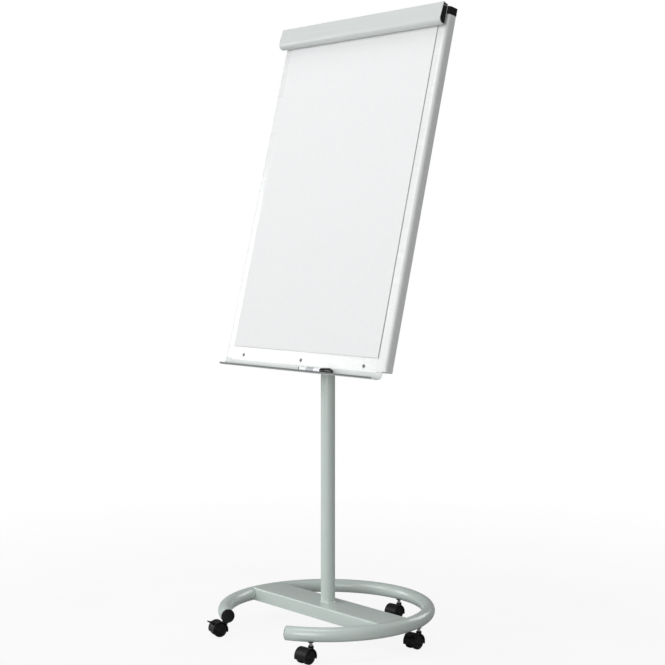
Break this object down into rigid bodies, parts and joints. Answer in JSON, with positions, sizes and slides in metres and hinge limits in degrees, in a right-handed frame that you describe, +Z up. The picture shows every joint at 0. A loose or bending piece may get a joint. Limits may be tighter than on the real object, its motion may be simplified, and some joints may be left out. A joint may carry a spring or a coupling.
{
  "type": "flipchart easel",
  "caption": "Mobile flipchart easel: tilting white board with hinged clamp bar, paper pad and pen tray on a telescopic column over an open tubular ring base with castors.",
  "frame": {"origin": "on the floor, on the axis of the column", "axes": "+Z up, -Y towards the viewer in front of the board, +X to the viewer's right"},
  "size_m": [0.7012, 0.5859, 1.7478],
  "materials": {
    "frame_paint": "satin grey-green powder coat",
    "black_plastic": "moulded black plastic",
    "castor_plastic": "black nylon",
    "steel": "zinc-plated",
    "head_casting": "dark grey painted casting",
    "friction_disc": "grey friction plastic",
    "white_lacquer": "glossy white lacquer",
    "back_steel": "light grey paint",
    "core": "hard fibreboard",
    "grey_profile": "satin light grey",
    "grip": "soft black strip",
    "paper": "plain white pad",
    "marker_body": "light grey plastic",
    "marker_top": "black plastic"
  },
  "bodies": {
    "base": {"base_ring": "frame_paint", "ring_end_plugs": "black_plastic", "base_plate": "frame_paint", "outer_column": "frame_paint", "column_foot_plug": "steel", "column_bolt": "steel", "column_collar": "black_plastic", "castor_sockets": "black_plastic"},
    "column_slider": {"column_glide": "black_plastic"},
    "height_clamp": {"height_knob": "black_plastic", "height_screw": "steel"},
    "upper_column": {"inner_column": "frame_paint", "tilt_head": "head_casting"},
    "board": {"writing_face": "white_lacquer", "board_core": "core", "lower_cross_rail": "back_steel", "upper_cross_rail": "back_steel", "top_rail": "back_steel", "left_side_rail": "white_lacquer", "right_side_rail": "white_lacquer", "rail_caps": "black_plastic", "tilt_bracket": "head_casting", "bracket_bolts": "steel", "tilt_bolt": "steel", "friction_washers": "friction_disc", "pen_tray": "grey_profile", "tray_screws": "steel", "paper_pad": "paper", "pad_pegs": "steel", "hinge_rod": "steel", "hinge_brackets": "head_casting"},
    "tilt_clamp": {"tilt_knob": "black_plastic"},
    "clamp": {"clamp_bar": "grey_profile", "clamp_end_plugs": "black_plastic", "clamp_grip": "grip"},
    "marker": {"marker_barrel": "marker_body"},
    "marker_cap": {"marker_cap": "marker_top"},
    "castor_front_right": {"castor_front_right_stem": "steel", "castor_front_right_hood": "castor_plastic", "castor_front_right_axle": "steel"},
    "castor_front_right_rollers": {"castor_front_right_wheels": "castor_plastic"},
    "castor_right": {"castor_right_stem": "steel", "castor_right_hood": "castor_plastic", "castor_right_axle": "steel"},
    "castor_right_rollers": {"castor_right_wheels": "castor_plastic"},
    "castor_right_lever": {"castor_right_brake": "castor_plastic"},
    "castor_back": {"castor_back_stem": "steel", "castor_back_hood": "castor_plastic", "castor_back_axle": "steel"},
    "castor_back_rollers": {"castor_back_wheels": "castor_plastic"},
    "castor_left": {"castor_left_stem": "steel", "castor_left_hood": "castor_plastic", "castor_left_axle": "steel"},
    "castor_left_rollers": {"castor_left_wheels": "castor_plastic"},
    "castor_front_left": {"castor_front_left_stem": "steel", "castor_front_left_hood": "castor_plastic", "castor_front_left_axle": "steel"},
    "castor_front_left_rollers": {"castor_front_left_wheels": "castor_plastic"},
    "castor_front_left_lever": {"castor_front_left_brake": "castor_plastic"}
  },
  "joints": [
    {"name": "height_clamp_turn", "type": "hinge", "parent": "base", "child": "height_clamp", "pos_m": [0, 0.036, 0.777], "axis": [0, 1, 0], "range_deg": [0, 360]},
    {"name": "column_slide", "type": "slide", "parent": "base", "child": "column_slider", "axis": [0, 0, 1], "range_m": [-0.09, 0.22]},
    {"name": "column_swivel", "type": "hinge", "parent": "column_slider", "child": "upper_column", "pos_m": [0, 0, 0.372], "axis": [0, 0, 1], "continuous": true},
    {"name": "board_tilt", "type": "hinge", "parent": "upper_column", "child": "board", "pos_m": [0, 0, 0.957], "axis": [1, 0, 0], "range_deg": [-16.3, 13.7]},
    {"name": "tilt_clamp_turn", "type": "hinge", "parent": "board", "child": "tilt_clamp", "pos_m": [0.022, 0, 0.957], "axis": [1, 0, 0], "range_deg": [0, 360]},
    {"name": "clamp_bar_lift", "type": "hinge", "parent": "board", "child": "clamp", "pos_m": [0, 0.1315, 1.73499], "axis": [-1, 0, 0], "range_deg": [0, 65]},
    {"name": "marker_lift", "type": "slide", "parent": "board", "child": "marker", "axis": [0, 0.2368, 0.9715], "range_m": [0, 0.12]},
    {"name": "marker_cap_pull", "type": "slide", "parent": "marker", "child": "marker_cap", "axis": [1, 0, 0], "range_m": [0, 0.05]},
    {"name": "front_right_swivel", "type": "hinge", "parent": "base", "child": "castor_front_right", "pos_m": [0.1907, -0.2168, 0.052], "axis": [0, 0, 1], "continuous": true},
    {"name": "front_right_roll", "type": "hinge", "parent": "castor_front_right", "child": "castor_front_right_rollers", "pos_m": [0.19314, -0.23665, 0.02], "axis": [0.9925, 0.1219, 0], "continuous": true},
    {"name": "right_swivel", "type": "hinge", "parent": "base", "child": "castor_right", "pos_m": [0.26425, 0.10176, 0.052], "axis": [0, 0, 1], "continuous": true},
    {"name": "right_roll", "type": "hinge", "parent": "castor_right", "child": "castor_right_rollers", "pos_m": [0.26669, 0.08191, 0.02], "axis": [0.9925, 0.1219, 0], "continuous": true},
    {"name": "right_brake_press", "type": "hinge", "parent": "castor_right", "child": "castor_right_lever", "pos_m": [0.26887, 0.06416, 0.03789], "axis": [0.9925, 0.1219, 0], "range_deg": [0, 12]},
    {"name": "back_swivel", "type": "hinge", "parent": "base", "child": "castor_back", "pos_m": [-0.00995, 0.27983, 0.052], "axis": [0, 0, 1], "continuous": true},
    {"name": "back_roll", "type": "hinge", "parent": "castor_back", "child": "castor_back_rollers", "pos_m": [-0.00751, 0.25998, 0.02], "axis": [0.9925, 0.1219, 0], "continuous": true},
    {"name": "left_swivel", "type": "hinge", "parent": "base", "child": "castor_left", "pos_m": [-0.27105, 0.08307, 0.052], "axis": [0, 0, 1], "continuous": true},
    {"name": "left_roll", "type": "hinge", "parent": "castor_left", "child": "castor_left_rollers", "pos_m": [-0.26758, 0.10277, 0.02], "axis": [-0.9848, 0.1736, 0], "continuous": true},
    {"name": "front_left_swivel", "type": "hinge", "parent": "base", "child": "castor_front_left", "pos_m": [-0.17546, -0.22958, 0.052], "axis": [0, 0, 1], "continuous": true},
    {"name": "front_left_roll", "type": "hinge", "parent": "castor_front_left", "child": "castor_front_left_rollers", "pos_m": [-0.18064, -0.2489, 0.02], "axis": [0.9659, -0.2588, 0], "continuous": true},
    {"name": "front_left_brake_press", "type": "hinge", "parent": "castor_front_left", "child": "castor_front_left_lever", "pos_m": [-0.18527, -0.26618, 0.03789], "axis": [0.9659, -0.2588, 0], "range_deg": [0, 12]}
  ]
}
